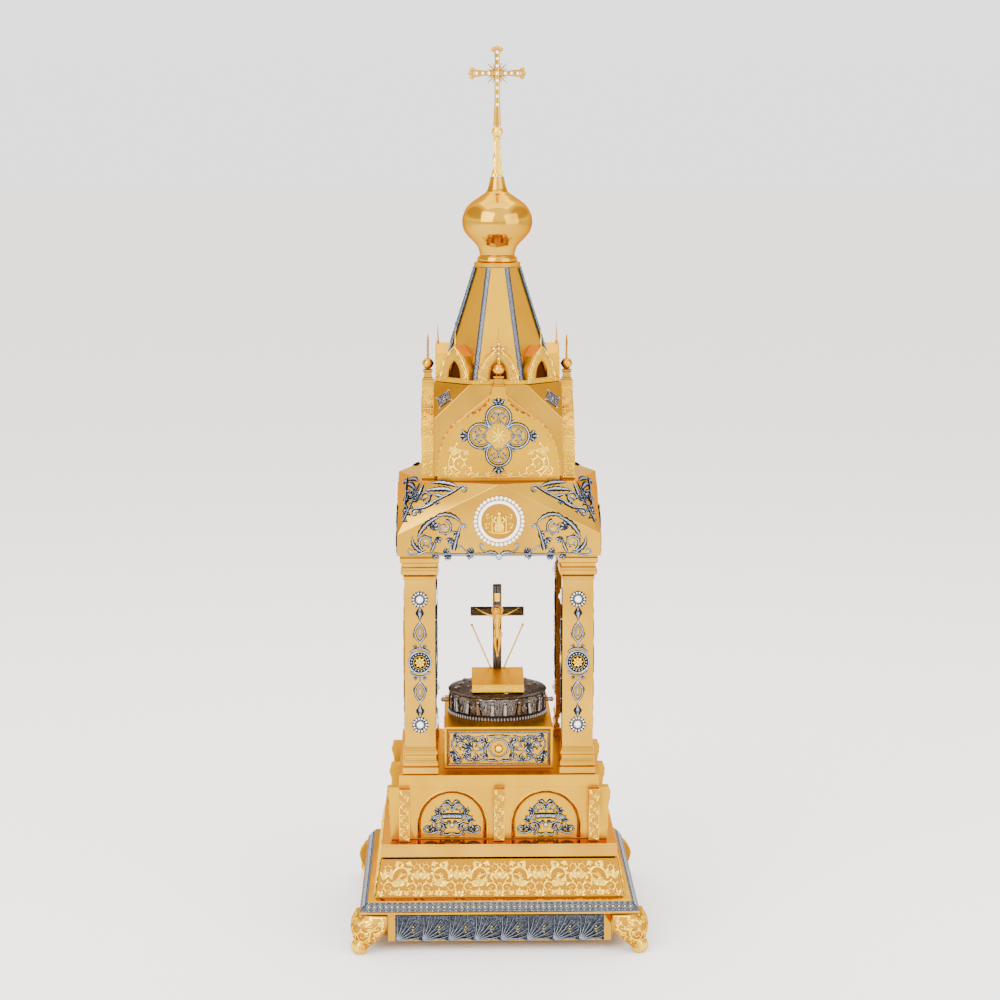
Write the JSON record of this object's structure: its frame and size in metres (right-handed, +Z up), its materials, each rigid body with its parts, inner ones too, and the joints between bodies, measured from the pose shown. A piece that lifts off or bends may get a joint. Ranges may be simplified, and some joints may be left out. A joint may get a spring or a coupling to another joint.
{
  "type": "altar tabernacle",
  "caption": "Tiered gilt altar tabernacle: footed base, arcade, open chamber with columns and crucifix, gabled roof, tent and onion dome.",
  "frame": {"origin": "middle of the four feet, on the surface that they stand on", "axes": "+Z up through the cross, the front with the drawer faces -Y, +X to the viewer's right"},
  "size_m": [0.2894, 0.2894, 0.8654],
  "materials": {
    "polished_gilt": "polished gilding",
    "satin_gilt": "satin gilding",
    "chased_gilt": "cast and chased gilding",
    "oxidised_silver": "oxidised silver with bright ridges",
    "blackened_silver": "blackened silver with rubbed ridges",
    "pearl": "pearls and white stones"
  },
  "bodies": {
    "shrine": {"foot_front_right": "chased_gilt", "foot_back_right": "chased_gilt", "foot_back_left": "chased_gilt", "foot_front_left": "chased_gilt", "base_body": "polished_gilt", "ledge": "polished_gilt", "arcade": "polished_gilt", "leaf_frieze_front": "oxidised_silver", "leaf_frieze_right": "oxidised_silver", "leaf_frieze_back": "oxidised_silver", "leaf_frieze_left": "oxidised_silver", "chain_band_front": "oxidised_silver", "chain_band_right": "oxidised_silver", "chain_band_back": "oxidised_silver", "chain_band_left": "oxidised_silver", "foliage_panel_front": "chased_gilt", "foliage_panel_right": "chased_gilt", "foliage_panel_back": "chased_gilt", "foliage_panel_left": "chased_gilt", "column_front_right": "polished_gilt", "column_back_right": "polished_gilt", "column_back_left": "polished_gilt", "column_front_left": "polished_gilt", "tomb_case": "polished_gilt", "chest": "polished_gilt", "relief_drum": "blackened_silver", "crucifix_cross": "blackened_silver", "corpus": "chased_gilt", "rod_left": "chased_gilt", "rod_right": "chased_gilt", "roof": "polished_gilt", "tower": "polished_gilt", "gable_scroll_front": "oxidised_silver", "gable_scroll_right": "oxidised_silver", "gable_scroll_back": "oxidised_silver", "gable_scroll_left": "oxidised_silver", "medallion_front": "chased_gilt", "medallion_right": "chased_gilt", "medallion_back": "chased_gilt", "medallion_left": "chased_gilt", "kokoshnik_front": "satin_gilt", "kokoshnik_right": "satin_gilt", "kokoshnik_back": "satin_gilt", "kokoshnik_left": "satin_gilt", "quatrefoil_front": "oxidised_silver", "quatrefoil_right": "oxidised_silver", "quatrefoil_back": "oxidised_silver", "quatrefoil_left": "oxidised_silver", "finial_front": "polished_gilt", "finial_right": "polished_gilt", "finial_back": "polished_gilt", "finial_left": "polished_gilt", "tent": "satin_gilt", "tent_ribs": "oxidised_silver", "lucarne_crown": "chased_gilt", "dome": "polished_gilt", "stem": "polished_gilt", "top_cross": "polished_gilt"},
    "drawer": {"drawer": "polished_gilt", "drawer_knob": "polished_gilt"}
  },
  "joints": [
    {"name": "drawer_slide", "type": "slide", "parent": "shrine", "child": "drawer", "axis": [0, -1, 0], "range_m": [0, 0.11]}
  ]
}
